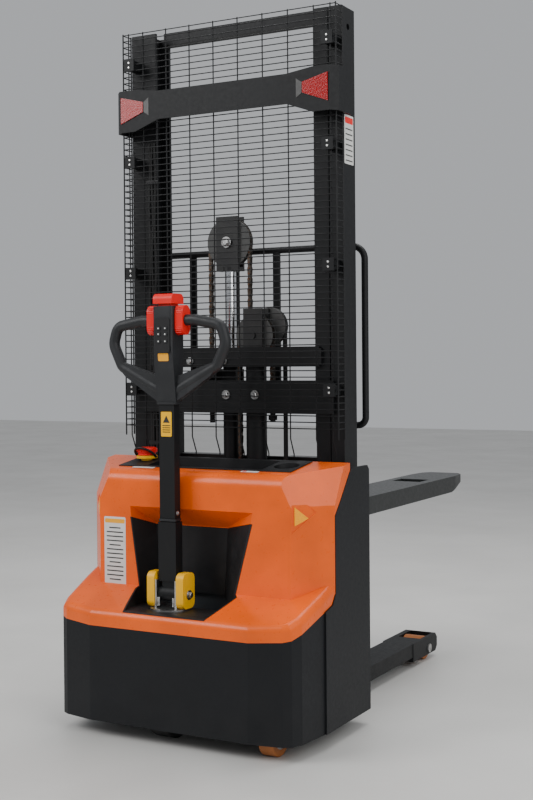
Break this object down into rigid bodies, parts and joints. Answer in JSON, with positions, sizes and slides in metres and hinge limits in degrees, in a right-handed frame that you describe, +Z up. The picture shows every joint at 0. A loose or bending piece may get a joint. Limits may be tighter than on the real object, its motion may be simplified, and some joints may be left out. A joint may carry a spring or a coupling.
{
  "type": "walkie stacker",
  "caption": "Walk-behind electric stacker with a telescoping lift mast, forks over support legs, orange hood, hinged tiller and wire screen guard.",
  "frame": {"origin": "on the floor, under the centre of the overall box", "axes": "+X to the truck's right, +Y towards the fork tips, +Z up"},
  "size_m": [0.8, 1.624, 2.066],
  "materials": {
    "battery_case": "matt",
    "black_plastic": "fine grain",
    "bright_steel": "machined",
    "chain_steel": "oiled",
    "chrome_rod": "polished",
    "dark_paint": "satin powder coat",
    "hose_rubber": "matt",
    "motor_metal": "cast",
    "orange_paint": "gloss",
    "pu_wheel": "worn polyurethane",
    "red_plastic": "gloss",
    "red_reflector": "retroreflective",
    "sheave_grey": "satin",
    "tiller_plastic": "fine grain",
    "yellow_plastic": "satin",
    "yellow_reflector": "retroreflective"
  },
  "bodies": {
    "chassis": {"base_frame": "dark_paint", "front_skirt": "dark_paint", "side_plates": "dark_paint", "hood": "orange_paint", "niche_liner": "black_plastic", "storage_tray": "black_plastic", "battery": "battery_case", "power_unit": "motor_metal", "controller": "black_plastic", "disconnect_base": "yellow_plastic", "hood_reflectors": "yellow_reflector", "outer_rails": "dark_paint", "outer_crossbar": "dark_paint", "main_barrel": "dark_paint", "mesh_guard": "dark_paint", "mesh_wings": "dark_paint", "mesh_clamps": "bright_steel", "reflector_panel": "dark_paint", "panel_reflectors": "red_reflector", "support_legs": "dark_paint", "load_axles": "bright_steel", "main_chain_fixed": "chain_steel", "hose_fixed": "hose_rubber"},
    "main_rod": {"main_piston_rod": "chrome_rod", "main_chain_wrap": "chain_steel", "hose_wrap": "hose_rubber"},
    "main_sheave": {"main_sheave": "sheave_grey"},
    "hose_pulley": {"hose_pulley": "sheave_grey"},
    "inner_mast": {"inner_rails": "dark_paint", "inner_crossbars": "dark_paint", "inner_bottom_tie": "dark_paint", "free_lift_barrel": "dark_paint", "main_chain_moving": "chain_steel", "hose_moving": "hose_rubber", "free_chain_fixed": "chain_steel"},
    "inner_mast_rollers": {"inner_mast_rollers": "bright_steel"},
    "free_rod": {"free_lift_rod": "chrome_rod", "free_chain_wrap": "chain_steel"},
    "free_sheave": {"free_lift_sheave": "sheave_grey"},
    "carriage": {"carriage_frame": "dark_paint", "fork_left": "dark_paint", "fork_right": "dark_paint", "backrest": "dark_paint", "free_chain_moving": "chain_steel"},
    "carriage_rollers_upper": {"carriage_rollers_upper": "bright_steel"},
    "carriage_rollers_lower": {"carriage_rollers_lower": "bright_steel"},
    "steer": {"drive_motor": "motor_metal", "drive_gearbox": "motor_metal", "tiller_bracket": "bright_steel", "tiller_guards": "yellow_plastic"},
    "drive_wheel": {"drive_wheel": "pu_wheel"},
    "tiller": {"tiller_post": "dark_paint", "tiller_head": "tiller_plastic"},
    "throttle": {"throttle_paddles": "red_plastic"},
    "reverse_button": {"reverse_button": "red_plastic"},
    "disconnect": {"disconnect_handle": "red_plastic"},
    "castor_fork": {"castor_fork": "bright_steel"},
    "castor_wheel": {"castor_wheel": "pu_wheel"},
    "load_wheel_left": {"load_wheel_left": "pu_wheel"},
    "load_wheel_right": {"load_wheel_right": "pu_wheel"}
  },
  "joints": [
    {"name": "main_lift", "type": "slide", "parent": "chassis", "child": "main_rod", "axis": [0, 0, 1], "range_m": [0, 0.75], "deforming": ["main_chain_fixed", "hose_fixed"]},
    {"name": "inner_mast_lift", "type": "slide", "parent": "main_rod", "child": "inner_mast", "axis": [0, 0, 1], "range_m": [0, 0.75], "deforming": ["main_chain_moving", "hose_moving"]},
    {"name": "free_lift", "type": "slide", "parent": "inner_mast", "child": "free_rod", "axis": [0, 0, 1], "range_m": [-0.266, 0.52], "deforming": ["free_chain_fixed"]},
    {"name": "carriage_lift", "type": "slide", "parent": "free_rod", "child": "carriage", "axis": [0, 0, 1], "range_m": [-0.266, 0.52], "deforming": ["free_chain_moving"]},
    {"name": "main_sheave_spin", "type": "hinge", "parent": "main_rod", "child": "main_sheave", "pos_m": [0.054, -0.392, 1.125], "axis": [0, 1, 0], "continuous": true},
    {"name": "hose_pulley_spin", "type": "hinge", "parent": "main_rod", "child": "hose_pulley", "pos_m": [0.084, -0.358, 1.152], "axis": [0, 1, 0], "continuous": true},
    {"name": "inner_mast_roller_spin", "type": "hinge", "parent": "inner_mast", "child": "inner_mast_rollers", "pos_m": [0, -0.3845, 0.13], "axis": [1, 0, 0], "continuous": true},
    {"name": "free_sheave_spin", "type": "hinge", "parent": "free_rod", "child": "free_sheave", "pos_m": [-0.052, -0.358, 1.409], "axis": [0, 1, 0], "continuous": true},
    {"name": "carriage_roller_upper_spin", "type": "hinge", "parent": "carriage", "child": "carriage_rollers_upper", "pos_m": [0, -0.3845, 0.94], "axis": [1, 0, 0], "continuous": true},
    {"name": "carriage_roller_lower_spin", "type": "hinge", "parent": "carriage", "child": "carriage_rollers_lower", "pos_m": [0, -0.3845, 0.68], "axis": [1, 0, 0], "continuous": true},
    {"name": "steering", "type": "hinge", "parent": "chassis", "child": "steer", "pos_m": [-0.05, -0.708, 0.23], "axis": [0, 0, 1], "range_deg": [-90, 90]},
    {"name": "drive_wheel_spin", "type": "hinge", "parent": "steer", "child": "drive_wheel", "pos_m": [-0.05, -0.708, 0.09], "axis": [1, 0, 0], "continuous": true},
    {"name": "tiller_tilt", "type": "hinge", "parent": "steer", "child": "tiller", "pos_m": [-0.05, -0.708, 0.4], "axis": [1, 0, 0], "range_deg": [0, 78], "stiffness_Nm_per_rad": 25, "springref_deg": -20.05},
    {"name": "throttle_twist", "type": "hinge", "parent": "tiller", "child": "throttle", "pos_m": [-0.05, -0.708, 1.165], "axis": [1, 0, 0], "range_deg": [-30, 30], "stiffness_Nm_per_rad": 0.6},
    {"name": "reverse_press", "type": "slide", "parent": "tiller", "child": "reverse_button", "axis": [0, 0, 1], "range_m": [-0.006, 0], "stiffness_N_per_m": 900, "springref_m": 0.003},
    {"name": "disconnect_pull", "type": "slide", "parent": "chassis", "child": "disconnect", "axis": [0, 0, 1], "range_m": [0, 0.022]},
    {"name": "castor_swivel", "type": "hinge", "parent": "chassis", "child": "castor_fork", "pos_m": [0.29, -0.702, 0.15], "axis": [0, 0, 1], "continuous": true},
    {"name": "castor_spin", "type": "hinge", "parent": "castor_fork", "child": "castor_wheel", "pos_m": [0.29, -0.734, 0.05], "axis": [1, 0, 0], "continuous": true},
    {"name": "load_wheel_left_spin", "type": "hinge", "parent": "chassis", "child": "load_wheel_left", "pos_m": [-0.2125, 0.456, 0.04], "axis": [1, 0, 0], "continuous": true},
    {"name": "load_wheel_right_spin", "type": "hinge", "parent": "chassis", "child": "load_wheel_right", "pos_m": [0.2125, 0.456, 0.04], "axis": [1, 0, 0], "continuous": true}
  ],
  "couplings": [
    {"joint": "inner_mast_lift", "follows": "main_lift", "ratio": 1},
    {"joint": "main_sheave_spin", "follows": "main_lift", "rad_per_m": 18.182},
    {"joint": "hose_pulley_spin", "follows": "main_lift", "rad_per_m": -20},
    {"joint": "inner_mast_roller_spin", "follows": "main_lift", "rad_per_m": 62.5},
    {"joint": "carriage_lift", "follows": "free_lift", "ratio": 1},
    {"joint": "free_sheave_spin", "follows": "free_lift", "rad_per_m": -14.706},
    {"joint": "carriage_roller_upper_spin", "follows": "free_lift", "rad_per_m": -62.5},
    {"joint": "carriage_roller_lower_spin", "follows": "free_lift", "rad_per_m": 62.5}
  ]
}
